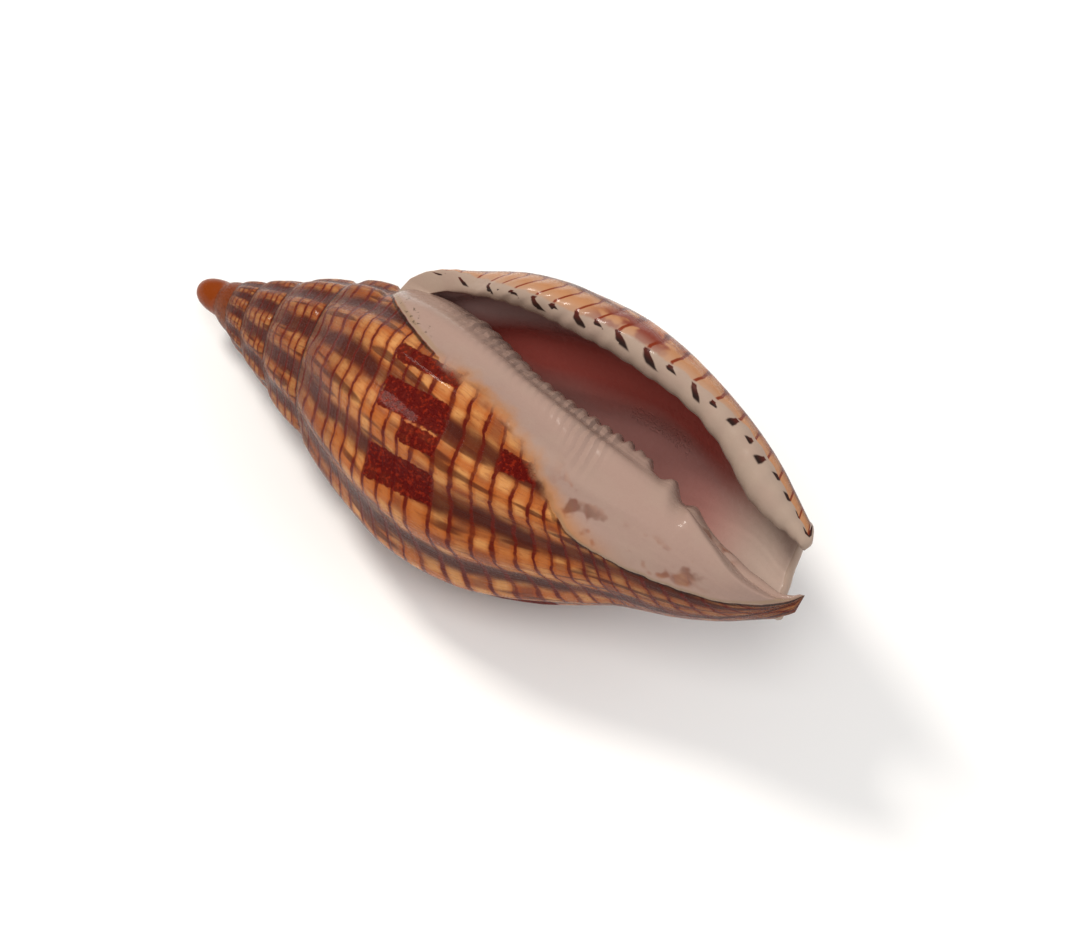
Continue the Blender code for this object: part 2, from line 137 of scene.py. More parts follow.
# Heights at the lip of the spiral colour lines, and the size of the dark dash that each one ends in (0 for none)
lineMarks = [(14.2, 0), (15.5, 0), (16.7, 0), (17.7, 0), (18.6, 0.6), (19.8, 0), (21.0, 0.95), (23.0, 0), (24.9, 1.0),
             (26.3, 0), (27.75, 0.45), (29.6, 1.0), (31.05, 0.4), (32.9, 1.0), (34.6, 0.4), (36.3, 0.95), (38.9, 1.0),
             (40.95, 0.45), (43.1, 1.0), (45.1, 0.45), (47.2, 0.85), (48.9, 0.5), (50.4, 0.8), (51.9, 0.6), (53.4, 0.8),
             (54.6, 0.6), (55.7, 0.7)] + [(57.4 + 1.9 * i, 0) for i in range(17)]

patternSettings = {
    # how far a dash slips towards the front end for each millimetre it runs inwards, at each height
    "dashLean": [(17.0, 1.5), (22.0, 1.7), (25.0, 3.0), (28.0, 2.6), (31.0, 2.3), (37.0, 2.0), (43.5, 2.0), (46.0, 0.4),
                 (48.0, -0.5), (57.0, -0.5)],
    # lip colour and dashes start this far in from the outer edge, in millimetres, at each height
    "whiteStart": [(17.0, -0.6), (21.0, -0.3), (22.7, 1.0), (27.0, 1.45), (31.8, 1.58), (36.5, 1.25), (39.2, 1.15),
                   (43.3, 0.84), (47.3, 0.2), (48.7, -0.3), (53.0, -0.4), (57.0, -0.2)],
    "dashStart": [(17.0, 0.5), (18.6, 0.6), (21.0, 1.15), (24.9, 1.55), (27.8, 1.69), (31.0, 1.66), (32.9, 1.48),
                  (36.3, 1.28), (41.0, 1.17), (45.1, 0.95), (47.2, 0.4), (50.4, 0.3), (51.9, -0.2), (54.6, -0.3),
                  (55.7, 0.0), (57.0, 0.0)],
    # maroon blocks: first and last turn angle, lowest and highest height; they reach from line to line
    "blocks": [(-304.0, -295.5, 22.5, 27.8), (-288.0, -274.0, 23.0, 29.0), (-273.0, -264.5, 25.5, 29.0),
               (-258.0, -243.0, 23.9, 28.9), (-281.0, -270.0, 33.4, 37.0),
               (-176.0, -167.0, 31.5, 38.0), (-150.0, -136.0, 26.0, 31.0), (-131.0, -123.0, 37.0, 42.0),
               (-104.0, -90.0, 28.0, 33.5), (-73.0, -64.0, 33.0, 41.0), (-47.0, -36.0, 27.0, 33.0),
               (-395.0, -383.0, 12.5, 15.0), (-520.0, -505.0, 8.6, 11.2), (-640.0, -622.0, 6.6, 8.6)],
}


def smooth(x, low, high):
    x = np.clip((np.asarray(x, float) - low) / (high - low), 0.0, 1.0)
    return x * x * (3.0 - 2.0 * x)


def hermite(s, span, y0, y1, m0, m1):
    return ((1 + 2 * s) * (1 - s) ** 2 * y0 + s * (1 - s) ** 2 * span * m0
            + s * s * (3 - 2 * s) * y1 + s * s * (s - 1) * span * m1)


def curve(x, points):  # a smooth curve through points, whose second value may be a row of numbers
    xs = np.array([p[0] for p in points], float)
    ys = np.array([p[1] for p in points], float)
    flat = ys.reshape(len(xs), -1)
    step = np.diff(xs)[:, None]
    rise = np.diff(flat, axis=0) / step
    slope = np.zeros_like(flat)
    slope[0], slope[-1] = rise[0], rise[-1]
    same = rise[:-1] * rise[1:] > 0
    total = np.where(same, rise[:-1] + rise[1:], 1.0)
    slope[1:-1] = np.where(same, 2 * rise[:-1] * rise[1:] / total, 0.0)
    x = np.clip(np.asarray(x, float), xs[0], xs[-1])
    i = np.clip(np.searchsorted(xs, x, side="right") - 1, 0, len(xs) - 2)
    s = ((x - xs[i]) / step[i, 0])[..., None]
    out = hermite(s, step[i], flat[i], flat[i + 1], slope[i], slope[i + 1])
    return out if ys.ndim > 1 else out[..., 0]


def wander(x, seed, octaves=4):  # a smooth irregular wave of one variable, about -1 to 1
    rng = np.random.default_rng(seed)
    total = 0.0
    for octave in range(octaves):
        a, b = rng.uniform(0, 2 * math.pi, 2)
        f = 2.0 ** octave
        total = total + (np.sin(x * f + a) + np.sin(x * f * 1.618 + b)) * 0.5 / f ** 0.7
    return total / 1.6


def growth(t):
    return growthSettings["whorlRatio"] ** (np.maximum(t, growthSettings["firstTurn"] + 360.0) / 360.0)


def sutureRadius(t):
    return growthSettings["sutureRadius"] * growth(t) * (1.0 - growthSettings["lastSutureTuck"] * smooth(t, -150, 0))


def plainSutureHeight(t):
    return growthSettings["virtualApex"] + growthSettings["sutureHeight"] * growth(t)


def sutureHeight(t):
    return plainSutureHeight(t) - growthSettings["lastSutureRise"] * smooth(t, -150, 0)


knots = np.linspace(0.0, 1.0, 23)


def makeStationRows():
    rows = []
    for t, points, scale in stations:
        start = (float(sutureHeight(t)), float(sutureRadius(t)))
        points = [start] + [(h, r * scale) for h, r in points if h > start[0] + 0.5]
        heights = start[0] + knots * (growthSettings["length"] - start[0])
        rows.append((t, curve(heights, points)))
    return rows


stationRows = makeStationRows()


def bodyRadius(t, h):  # the last whorl, from the stations
    start = sutureHeight(t)
    y = np.clip((h - start) / (growthSettings["length"] - start), 0.0, 1.0)
    rows = curve(t, stationRows)
    last = len(knots) - 1
    i = np.clip((y * last).astype(int), 0, last - 1)
    row = np.arange(len(t))

    def value(k):
        return rows[row, np.clip(k, 0, last)]

    def slope(k):
        span = np.clip(k + 1, 0, last) - np.clip(k - 1, 0, last)
        return (value(k + 1) - value(k - 1)) * last / span

    return hermite(y * last - i, 1.0 / last, value(i), value(i + 1), slope(i), slope(i + 1))


def spireRadius(t, h):  # the earlier whorls, between one seam and the next
    h0, h1 = sutureHeight(t), sutureHeight(t + 360.0)
    r0, r1 = sutureRadius(t), sutureRadius(t + 360.0)
    x = np.clip((h - h0) / np.maximum(h1 - h0, 1e-6), 0.0, 1.0)
    return r0 + (r1 - r0) * x + growthSettings["whorlBulge"] * (h1 - h0) * x * (1.0 - x) * (1.25 - 0.5 * x)


def plainRadius(t, h):  # both joined, without relief
    body = bodyRadius(t, h)
    h1 = sutureHeight(t + 360.0)
    spire = spireRadius(t, np.minimum(h, h1))
    step = sutureRadius(t + 360.0) - bodyRadius(t, h1)
    fix = np.where(h < h1, spire - body, step * np.exp(-np.maximum(h - h1, 0.0) / 3.0))
    return np.where(t < -700.0, spire, body + fix * (1.0 - smooth(t, -360, -290)))


def sway(h):  # the front end of the columella bends this far from the axis
    return curve(h, columellaSettings["sway"])


def canalCut(t, h):  # where the front canal opens beside the columella
    margin = curve(h, columellaSettings["margin"])
    cut = (1.0 - smooth(t, margin - columellaSettings["drop"], margin)) * smooth(t, -540.0, -440.0)
    return cut * smooth(h, 44.5, 50.0) * 0.94


def canal(t, h, r):
    left = columellaSettings["left"]
    r = np.maximum(r - sway(h) * np.cos(np.radians(growthSettings["lipAzimuth"] + t)), left)
    return r + (left - r) * canalCut(t, h)


def ribPhase(t, h):
    lean = ribSettings["lean"] * (h - 21.0) * smooth(t, -400, -330)
    return (t - ribSettings["phase"] - lean) / ribSettings["spacing"]


def ribs(t, h):  # how far the ribs stand out
    h0, h1 = sutureHeight(t), sutureHeight(t + 360.0)
    x = (h - h0) / np.maximum(h1 - h0, 1e-6)
    wave = (0.5 + 0.5 * np.cos(2 * math.pi * ribPhase(t, h))) ** 1.3 - 0.35
    fadeIn = smooth(x, 0.0, 0.18)
    inSpire = 1.0 - smooth(x, 0.86, 1.0)
    onBody = (1.0 - smooth(h, 36.0, 48.0)) * (1.0 - smooth(t, -22.0, -6.0)) * smooth(t, -345.0, -318.0)
    window = np.where(t < -360.0, inSpire, onBody + inSpire * (1.0 - smooth(t, -345.0, -318.0)))
    first = growthSettings["firstTurn"]
    return ribSettings["height"] * growth(t) * wave * fadeIn * window * smooth(t, first + 500.0, first + 800.0)


def growthLines(t, h):  # faint uneven ridges along the ribs, where the shell paused as it grew
    window = smooth(t, -1500, -1300) * (1.0 - smooth(t, -12, -4))
    lean = t - (h - 21.0) * smooth(t, -400, -330)
    return 0.022 * growth(t) * wander(lean * 0.55, 5, 3) * window


def callusEdge(h):
    edge = curve(h, callusSettings["edge"])
    return edge + callusSettings["waver"] * wander(h * 1.7, 11, 3) * smooth(h, 22.0, 26.0)


def callusDistance(t, h, r):  # millimetres outside the callus, negative on it
    return (t - callusEdge(h)) * np.maximum(r, 1.0) * math.pi / 180.0


def callus(t, h, r):
    edge = callusEdge(h)
    away = callusDistance(t, h, r)
    soft = 1.0 - smooth(t, edge - 3.0, edge + 1.5)
    sharp = 1.0 - smooth(away, -0.28, 0.12)
    front = smooth(h, 36.0, 41.0)
    on = soft + (sharp - soft) * front
    ridge = callusSettings["ridge"] * np.exp(-((away + 0.35) / 0.28) ** 2) * front * (1.0 - smooth(h, 52.0, 55.0))
    groove = -0.06 * np.exp(-((away - 0.22) / 0.16) ** 2) * front * (1.0 - smooth(h, 52.0, 55.0))
    below = smooth(h, sutureHeight(t + 360.0) + 0.1, sutureHeight(t + 360.0) + 1.2)
    cover = callusSettings["thickness"] * on * smooth(t, -520.0, -400.0) * (1.0 - smooth(h, 53.0, 56.0))
    near = smooth(t, -420.0, -400.0)
    return (cover + (ridge + groove) * near) * below


def folds(t, h):  # the columella's big folds and fine teeth
    place = h - foldSettings["slant"] * (t - foldSettings["slantFrom"])
    margin = curve(h, columellaSettings["margin"])
    window = smooth(t, -520.0, -440.0) * (1.0 - smooth(t, margin - 4.0, margin + 24.0))
    big = curve(place, foldSettings["profile"]) * window
    fine = foldSettings["fineCrests"]
    low, high = foldSettings["fineHeight"]
    index = np.interp(place, fine, np.arange(len(fine)))
    wave = np.maximum(0.5 + 0.5 * np.cos(2 * math.pi * index), 0.0)
    along = np.clip((place - fine[0]) / (fine[-1] - fine[0]), 0.0, 1.0)
    tall = low + (high - low) * along ** 2
    inRow = smooth(place, fine[0] - 0.6, fine[0]) * (1.0 - smooth(place, fine[-1] + 0.1, fine[-1] + 0.7))
    fineWindow = smooth(t, -470.0, -420.0) * (1.0 - smooth(t, -352.0, -326.0))
    return big * (1.0 - canalCut(t, h)) + tall * wave * inRow * fineWindow


def lineIndex(t, h):  # whole numbers along the middle of each spiral colour line
    y = (h - plainSutureHeight(t)) / growth(t) + plainSutureHeight(0.0)
    heights = [m[0] for m in lineMarks]
    return np.interp(y, heights, np.arange(len(heights)))


def outerRadius(t, h):
    t, h = np.broadcast_arrays(np.asarray(t, float), np.asarray(h, float))
    shape = t.shape
    t, h = t.ravel(), h.ravel()
    swelling = lipSettings["swelling"] * np.exp(-((t + 9.0) / 9.0) ** 2) * smooth(h, 17.0, 22.0)
    past = h - sutureHeight(t)
    spur = lipSettings["spur"] * smooth(t, -14.0, -2.0) * smooth(past, 0.0, 0.8) * (1.0 - smooth(past, 1.5, 6.0))
    scallop = -lipSettings["scallop"] * np.cos(2 * math.pi * lineIndex(t, h)) * smooth(t, -8.0, 0.0)
    plain = canal(t, h, plainRadius(t, h))
    r = plain + ribs(t, h) + callus(t, h, plain) + folds(t, h) + swelling + spur + scallop + growthLines(t, h)
    return r.reshape(shape)


def rowHeights(t):  # heights of the rows of the sheet at each turn angle, from suture to front end
    t = np.atleast_1d(t)[:, None]
    start, turnOn = sutureHeight(t), sutureHeight(t + 360.0)
    corner = turnOn + hollowSettings["cornerDrop"]
    edge = curve(t, hollowSettings["frontEdge"])

    def spread(low, high, count):
        return low + (high - low) * np.linspace(0.0, 1.0, count + 1)[None, 1:]

    return np.hstack([start, spread(start, turnOn, meshSettings["whorlRows"]),
                      spread(turnOn, corner, meshSettings["cornerRows"]),
                      spread(corner, edge, meshSettings["bodyRows"]),
                      spread(edge, growthSettings["length"], meshSettings["tipRows"])])


def placePoints(t, r, h):
    a = np.radians(growthSettings["lipAzimuth"] + t)
    return np.stack(np.broadcast_arrays(sway(h) + r * np.cos(a), r * np.sin(a), h), -1)


class Sheets:  # the surface as grids of points; every corner of a face also keeps where it is in the pattern
    def __init__(self):
        s = meshSettings
        self.step = 360.0 / s["turnSteps"]
        self.turnSteps = s["turnSteps"]
        self.lip = round(-growthSettings["firstTurn"] / self.step)
        self.turnBack = self.lip - self.turnSteps
        self.joint = self.lip + round(hollowSettings["joint"] / self.step)
        self.deep = self.lip - round(hollowSettings["depth"] / self.step)
        self.corner = s["whorlRows"] + s["cornerRows"]
        self.edge = self.corner + s["bodyRows"]
        self.end = self.edge + s["tipRows"]
        self.points, self.count = [], 0
        self.faces, self.cornerData = [], []
        self.tip = self.addPoints(np.array([[0.0, 0.0, growthSettings["length"] + 0.15]]))[0]

    def turn(self, k):
        return growthSettings["firstTurn"] + self.step * np.asarray(k, float)

    def addPoints(self, p):
        ids = self.count + np.arange(int(np.prod(p.shape[:-1]))).reshape(p.shape[:-1])
        self.points.append(p.reshape(-1, 3))
        self.count += ids.size
        return ids

    def addFaces(self, ids, data, keep, flip=False):  # a grid's cells become faces
        n = data.shape[-1]
        corners = [(slice(None, -1), slice(None, -1)), (slice(1, None), slice(None, -1)),
                   (slice(1, None), slice(1, None)), (slice(None, -1), slice(1, None))]
        if flip:
            corners = [corners[i] for i in (0, 3, 2, 1)]
        quads = np.stack([ids[c] for c in corners], -1)[keep]
        values = np.stack([data[c] for c in corners], -2)[keep].reshape(-1, 4, n)
        same = (quads == np.roll(quads, -1, axis=1)).any(1)
        self.faces += quads[~same].tolist()
        self.cornerData.append(values[~same].reshape(-1, n))
        for quad, value in zip(quads[same].tolist(), values[same]):
            ring = [i for i in range(4) if quad[i] not in quad[:i]]
            if len(ring) > 2:
                self.faces.append([quad[i] for i in ring])
                self.cornerData.append(value[ring])

    def data(self, t, h, r, mouth, inside):
        t, h, r, mouth, inside = np.broadcast_arrays(t, h, r, mouth, inside)
        line = lineIndex(t, h)
        upper = 0.5 - (h - sutureHeight(t + 360.0))
        core = mouth == coreMark
        fromCallus = np.where(core, -farAway, np.maximum(callusDistance(t, h, r), upper))
        fromCallus = np.where(~core & (t < -360.1), farAway, fromCallus)
        none = np.full(t.shape, -farAway)
        fromSuture = (h - sutureHeight(t)) / growth(t)
        return np.stack([line, ribPhase(t, h), blockDistance(t, r, line), fromCallus, mouth, inside,
                         t, h, fromSuture, none, none, none], -1)

    def lipData(self, h, mouth, data):  # where the lip's colour and its dashes start, and the lines that end in them
        white = mouth - curve(h, patternSettings["whiteStart"])
        dash = mouth - curve(h, patternSettings["dashStart"])
        along = h - curve(h, patternSettings["dashLean"]) * np.maximum(dash, 0.0)
        index = lineIndex(0.0, along)
        heights, sizes = np.array(lineMarks).T
        nearest = np.clip(np.round(index).astype(int), 0, len(lineMarks) - 1)
        data[..., 0] = index
        data[..., 9], data[..., 10], data[..., 11] = white, dash, sizes[nearest]
        return data

    def outsideColumns(self):
        k = np.arange(self.lip + 1)
        t = self.turn(k)[:, None]
        rows = rowHeights(t[:, 0])
        w = meshSettings["whorlRows"]
        radii = np.zeros_like(rows)
        radii[:, :w + 1] = outerRadius(t, rows[:, :w + 1])
        late = slice(self.turnBack, None)
        radii[late, w + 1:] = outerRadius(t[late], rows[late, w + 1:])
        ids = np.full((self.lip + 1, self.end + 1), -1)
        ids[:, :w + 1] = self.addPoints(placePoints(t, radii[:, :w + 1], rows[:, :w + 1]))
        ids[late, w + 1:] = self.addPoints(placePoints(t[late], radii[late, w + 1:], rows[late, w + 1:]))
        ids[:, self.end] = self.tip
        ids[0, 1:w + 1] = ids[0, 0]
        ids[self.turnSteps:, 0] = ids[:-self.turnSteps, w]
        self.outside, self.outsideRows, self.outsideRadii = ids, rows, radii
        kk, jj = np.meshgrid(k[:-1], np.arange(self.end), indexing="ij")
        keep = (jj < w) | ((kk >= self.turnBack) & ((jj < self.edge) | (kk < self.joint)))
        mouth = np.clip(t * radii * math.pi / 180.0, -40.0, 0.0)
        self.addFaces(ids, self.data(t, rows, radii, mouth, 0.0), keep)

    def coreColumns(self):  # the columella and the wall above it, going on from the outside into the hollow
        first, joint = self.deep - self.turnSteps, self.joint - self.turnSteps
        k = np.arange(first, self.turnBack + 1)
        t = self.turn(k)[:, None]
        rows = rowHeights(t[:, 0])
        radii = outerRadius(t, rows)
        ids = np.full((self.turnBack + 1, self.end + 1), -1)
        ids[first:, self.corner:] = self.addPoints(placePoints(t, radii, rows))[:, self.corner:]
        ids[:, self.end] = self.tip
        ids[self.turnBack, :] = self.outside[self.turnBack, :]
        ids[joint, self.edge:] = self.outside[self.joint, self.edge:]
        kk, jj = np.meshgrid(k[:-1], np.arange(self.end), indexing="ij")
        keep = (jj >= self.corner) & ((jj < self.edge) | (kk >= joint))
        deep = np.maximum(-360.0 - t, 0.0) * np.maximum(radii, 2.0) * math.pi / 180.0
        self.addFaces(ids[first:], self.data(t, rows, radii, coreMark, deep), keep)
        self.core = ids

    def insideColumns(self):  # the inner face of the outer wall
        k = np.arange(self.deep, self.lip + 1)
        t = self.turn(k)[:, None]
        rows = rowHeights(t[:, 0] - 360.0)
        end = np.where(k[:, None] > self.joint, curve(t, hollowSettings["frontEdge"]), rows[:, [self.edge]])
        x = np.linspace(0.0, 1.0, self.edge + 1)[None, :]
        heights = rows[:, [self.corner]] + (end - rows[:, [self.corner]]) * x
        core, outer = outerRadius(t - 360.0, heights), outerRadius(t, heights)
        thick = curve(heights, lipSettings["thickness"])
        wall = lipSettings["wall"] + (thick - lipSettings["wall"]) * smooth(t, -24, 0)
        room = np.maximum(outer - core, 0.0)
        gap = room - wall * (1.0 - np.exp(-room / wall))
        gap = gap * (1.0 - (1.0 - np.minimum(x / 0.14, 1.0)) ** 3)
        closing = 1.0 - smooth(t, hollowSettings["joint"], hollowSettings["joint"] + 40.0)
        gap = gap * (1.0 - closing * np.maximum(1.0 - (1.0 - x) / 0.12, 0.0) ** 3)
        radii = core + gap
        ids = self.addPoints(placePoints(t, radii, heights))
        back = k - self.turnSteps
        ids[:, 0] = self.core[back, self.corner]
        early = k <= self.joint
        ids[early, self.edge] = self.core[back[early], self.edge]
        self.inside = np.full((self.lip + 1, self.edge + 1), -1)
        self.inside[k] = ids
        deep = -t * np.maximum(radii, 2.0) * math.pi / 180.0
        keep = np.ones((len(k) - 1, self.edge), bool)
        self.addFaces(ids, self.data(t, heights, radii, lipSettings["rimWidth"] + deep, deep), keep, flip=True)

    def bead(self, a, b, out, bulge):  # a rounded row of points from the outer edge of the wall to its inner edge
        middle, half = (a + b) / 2.0, (a - b) / 2.0
        n = meshSettings["cornerRows"]
        angle = np.pi * np.arange(1, n) / n
        length = np.linalg.norm(half)
        return middle + np.cos(angle)[:, None] * half + np.sin(angle)[:, None] * out * length * bulge

    def rims(self):
        everyPoint = np.vstack(self.points)
        n = meshSettings["cornerRows"]
        w = meshSettings["whorlRows"]
        ids = np.zeros((self.edge + 1, n + 1), int)
        lipRows = self.outsideRows[self.lip]
        up = np.array([0.0, 0.0, 1.0])
        for j in range(self.edge + 1):
            outer, inner = self.outside[self.lip, j], self.inside[self.lip, j]
            ids[j, 0], ids[j, n] = outer, inner
            if j == 0:
                ids[0, 1:n] = self.outside[self.turnBack, w + 1:w + n]
                continue
            a, b = everyPoint[outer], everyPoint[inner]
            out = np.array([-a[1], a[0], 0.0])
            out /= np.linalg.norm(out)
            if j == self.edge:
                out = (out + up) / np.linalg.norm(out + up)
            bulge = lipSettings["rimBulge"] * float(smooth(j / self.edge, 0.0, 0.15))
            ids[j, 1:n] = self.addPoints(self.bead(a, b, out, bulge))
        self.lipRim = ids
        i = np.arange(n + 1)[None, :]
        mouth = lipSettings["rimWidth"] * i / n + 0.0 * ids
        keep = np.ones((self.edge, n), bool)
        h = lipRows[:self.edge + 1, None] + 0.0 * mouth
        r = self.outsideRadii[self.lip][:self.edge + 1, None] + 0.0 * mouth
        self.addFaces(ids, self.lipData(h, mouth, self.data(0.0, h, r, mouth, 0.0)), keep, flip=True)
        ks = np.arange(self.joint, self.lip + 1)
        front = np.zeros((len(ks), n + 1), int)
        for row, k in enumerate(ks):
            outer, inner = self.outside[k, self.edge], self.inside[k, self.edge]
            if k == self.joint:
                front[row] = outer
            elif k == self.lip:
                front[row] = self.lipRim[self.edge]
            else:
                front[row, 0], front[row, n] = outer, inner
                a, b = everyPoint[outer], everyPoint[inner]
                front[row, 1:n] = self.addPoints(self.bead(a, b, up, lipSettings["rimBulge"]))
        t = self.turn(ks)[:, None]
        h = self.outsideRows[ks][:, [self.edge]] + 0.0 * front
        r = self.outsideRadii[ks][:, [self.edge]] + 0.0 * front
        mouth = lipSettings["rimWidth"] * i / n + 0.0 * front
        data = self.lipData(h, mouth, self.data(t, h, r, mouth, 0.0))
        self.addFaces(front, data, np.ones((len(ks) - 1, n), bool))

    def deepEnd(self):  # closes the hollow where it ends, out of sight behind the columella
        a = self.inside[self.deep]
        b = self.core[self.deep - self.turnSteps, self.corner:self.edge + 1]
        t = self.turn(self.deep)
        i = j = 0
        rows = []
        while i < len(a) - 1 or j < len(b) - 1:
            if j == len(b) - 1 or (i < len(a) - 1 and (i + 1) * (len(b) - 1) <= (j + 1) * (len(a) - 1)):
                rows.append([a[i], b[j], a[i + 1]])
                i += 1
            else:
                rows.append([a[i], b[j], b[j + 1]])
                j += 1
        value = self.data(t, 35.0, 5.0, 40.0, 40.0)
        for ring in rows:
            if len(set(int(v) for v in ring)) == 3:
                self.faces.append([int(v) for v in ring])
                self.cornerData.append(np.tile(value, (3, 1)))

    def firstCap(self):  # the smooth round cap of the first whorl
        n = self.turnSteps
        everyPoint = np.vstack(self.points)
        base = self.outside[:n, 0]
        rings = [base]
        for a in range(1, meshSettings["capRings"]):
            angle = math.pi / 2 * a / meshSettings["capRings"]
            scale = np.array([math.cos(angle) ** 0.85, math.cos(angle) ** 0.85, 1.0 - math.sin(angle)])
            rings.append(self.addPoints(everyPoint[base] * scale))
        rings.append(np.repeat(self.addPoints(np.zeros((1, 3))), n))
        ids = np.array(rings).T
        ids = np.vstack([ids, ids[:1]])
        first = growthSettings["firstTurn"]
        t = first + 0.0 * ids
        data = self.data(t, 0.0, 1.0, capMark, 0.0)
        self.addFaces(ids, data, np.ones((n, ids.shape[1] - 1), bool), flip=True)

    def build(self):
        self.outsideColumns()
        self.coreColumns()
        self.insideColumns()
        self.rims()
        self.deepEnd()
        self.firstCap()
        points = np.vstack(self.points)
        used = np.unique(np.concatenate([np.asarray(f) for f in self.faces]))
        renumber = np.zeros(len(points), int)
        renumber[used] = np.arange(len(used))
        faces = [[int(renumber[v]) for v in f] for f in self.faces]
        return points[used], faces, np.vstack(self.cornerData)


def blockDistance(t, r, line):  # millimetres inside the nearest maroon block, negative outside it
    best = np.full(np.shape(t), -2.0)
    for t0, t1, h0, h1 in patternSettings["blocks"]:
        middle = (t0 + t1) / 2
        first, last = (np.round(lineIndex(middle, h)) for h in (h0, h1))
        across = np.minimum(t - t0, t1 - t) * np.maximum(r, 1.0) * math.pi / 180.0
        along = np.minimum(line - first, last - line) * 1.4 * growth(middle)
        best = np.maximum(best, np.minimum(across, along))
    return best


def restTurn():  # turns the shell's own axes to how it lies
    up = Vector(growthSettings["restUp"]).normalized()
    along = Vector((0.0, 0.0, 1.0))
    along = (along - up * along.dot(up)).normalized()
    side = up.cross(along)
    return np.array([along, side, up])


def makeShell():
    points, faces, data = Sheets().build()
    turned = points @ restTurn().T
    middle = (turned.min(0) + turned.max(0)) / 2
    away = np.min([np.hypot(*(turned[:, :2] - middle[:2] - spot).T) for spot in growthSettings["spots"]], axis=0)
    floor = turned[:, 2].min() + growthSettings["worn"] + growthSettings["spotHeight"] * smooth(away, 0.0, 1.0)
    turned[:, 2] = np.maximum(turned[:, 2], floor)
    low, high = turned.min(0), turned.max(0)
    boxLow, boxHigh = (np.array(c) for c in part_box("shell"))
    print("size before fitting, mm:", np.round(high - low, 3), "CAD:", np.round((boxHigh - boxLow) / mm, 3))
    fit = (boxHigh - boxLow) / (high - low)
    base = boxLow - fit * low
    placed = base + turned * fit
    mesh = bpy.data.meshes.new("shellSurface")
    mesh.from_pydata(placed.tolist(), [], faces)
    for name, columns in (("pattern", (0, 1, 2)), ("zone", (3, 4, 5)), ("stage", (6, 7, 8)), ("lip", (9, 10, 11))):
        layer = mesh.attributes.new(name, "FLOAT_VECTOR", "CORNER")
        layer.data.foreach_set("vector", data[:, columns].astype(np.float32).ravel())
    mesh.shade_smooth()
    mesh.update()
    print("faces", len(faces), "triangles", sum(len(f) - 2 for f in faces))
    shell = bpy.data.objects.new("shellBody", mesh)
    bpy.context.scene.collection.objects.link(shell)
    return shell, base, fit


shell, base, fit = makeShell()
print("shell made")


def toWorld(point):  # from the shell's own axes, in millimetres, to where it lies
    return Vector(base + (restTurn() @ np.array(point)) * fit)


def directionToWorld(direction):
    return Vector(restTurn() @ np.array(direction)).normalized()


def tone(text):  # a colour as it looks on screen, turned to the values that nodes work in
    parts = [int(text[i:i + 2], 16) / 255.0 for i in (0, 2, 4)]
    return tuple(p / 12.92 if p <= 0.04045 else ((p + 0.055) / 1.055) ** 2.4 for p in parts) + (1.0,)


# creaseShade is painted shade, laid into the seam between whorls and into the crevice under the glaze's raised edge
shellColors = {
    "cream": tone("c2864e"), "orange": tone("9c440c"), "brown": tone("581f0e"), "rose": tone("72301a"),
    "line": tone("5a1204"), "stripe": tone("42140b"), "block": tone("530602"), "blockLight": tone("7a1c08"),
    "tip": tone("7c3406"), "tipPale": tone("7b4729"), "shoulder": tone("6c4432"),
    "callus": tone("9d8276"), "peach": tone("a8744c"), "callusEdge": tone("92785e"), "creaseShade": tone("28140c"),
    "through": tone("703820"), "white": tone("a18c7d"), "varix": tone("b07c56"), "varixRose": tone("7e392b"),
    "varixLine": tone("74260c"), "dash": tone("461006"), "dashDark": tone("180604"),
    "insideEdge": tone("b4908a"), "insideDark": tone("b85a50"), "insideLight": tone("b88078"),
    "insideFront": tone("b7a194"), "dirt": tone("4a3c2a"),
}

glossSettings = {
    "roughness": (0.22, 0.34),    # in the smoothest and the roughest patches
    "blockRoughness": 0.3,        # more in the maroon blocks
    "specular": 0.08,
    "coat": 0.16,
    "coatRoughness": 0.07,
    "bump": 0.00006,
}

markSettings = {  # widths are parts of the distance from one spiral line to the next
    "lineWidth": (0.06, 0.13),
    "lineStrength": (0.7, 1.0),
    "lineWander": 0.35,
    "stripeWidth": (0.02, 0.1),   # extra width of the dark stripes on the last whorl and on the spire; the wider spire stripes are partly painted shade in the rib valleys
    "stripeStrength": 0.94,
    "dashWidth": (0.11, 0.22),    # at the outer and the inner end
    "dashLength": 0.85,
    "threads": 3.0,               # fine spiral threads from line to line
    "ridges": 1.35,               # fine ridges to a millimetre across the columella side
    "ridgeStrength": 7.0,
}


